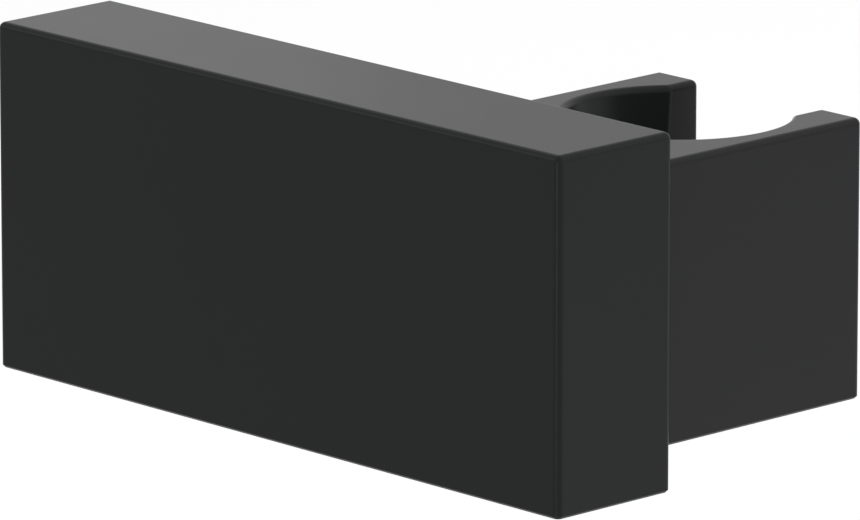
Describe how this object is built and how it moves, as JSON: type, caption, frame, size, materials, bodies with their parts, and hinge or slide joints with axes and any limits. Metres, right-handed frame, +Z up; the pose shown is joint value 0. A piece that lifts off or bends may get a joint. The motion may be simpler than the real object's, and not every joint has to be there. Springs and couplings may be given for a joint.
{
  "type": "hand shower holder",
  "caption": "Wall arm, a slim rounded block, with a slotted tapered cradle on its side that tilts on a concealed friction pivot to hold a hand shower.",
  "frame": {"origin": "middle of the arm's wall end, in the plane of the wall", "axes": "+Y into the wall, so the arm runs out along -Y; +X to the side that carries the cradle; +Z up"},
  "size_m": [0.0444, 0.0815, 0.036],
  "materials": {
    "black_coat": "matte",
    "black_moulding": "matte",
    "zinc_plate": "satin",
    "stainless_steel": "satin",
    "spring_steel": "satin",
    "nylon": "matte"
  },
  "bodies": {
    "arm": {"arm": "black_coat", "wall_bracket": "zinc_plate", "grub_screw": "stainless_steel", "pivot_screw": "stainless_steel", "stop_pin": "stainless_steel"},
    "cradle": {"cradle": "black_moulding", "friction_washer": "nylon", "disc_spring": "spring_steel"}
  },
  "joints": [
    {"name": "cradle_tilt", "type": "hinge", "parent": "arm", "child": "cradle", "pos_m": [0.0077, -0.0646, 0], "axis": [1, 0, 0], "range_deg": [-45, 45]}
  ]
}
